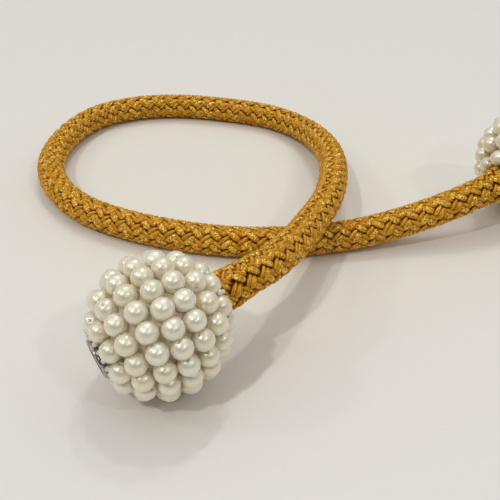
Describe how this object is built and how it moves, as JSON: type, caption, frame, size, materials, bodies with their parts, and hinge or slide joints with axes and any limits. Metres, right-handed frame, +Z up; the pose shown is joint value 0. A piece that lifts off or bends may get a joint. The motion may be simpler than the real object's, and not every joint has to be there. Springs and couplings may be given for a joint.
{
  "type": "magnetic curtain tieback",
  "caption": "Braided round cord lying in a loose loop, with a pearl-covered magnetic ball on each end; it wraps a gathered curtain and clasps it.",
  "frame": {"origin": "on the table, midway between the two balls", "axes": "+X across the front to the right, +Y away from the front towards the loop, +Z up"},
  "size_m": [0.1863, 0.1785, 0.0347],
  "materials": {
    "cord": "mustard gold braid with a soft sheen",
    "pearl": "creamy white pearl lustre",
    "magnet": "bright nickel plate"
  },
  "bodies": {
    "root": {"cord": "cord", "near_ball": "pearl", "far_ball": "pearl", "near_magnet": "magnet", "far_magnet": "magnet"}
  },
  "joints": []
}
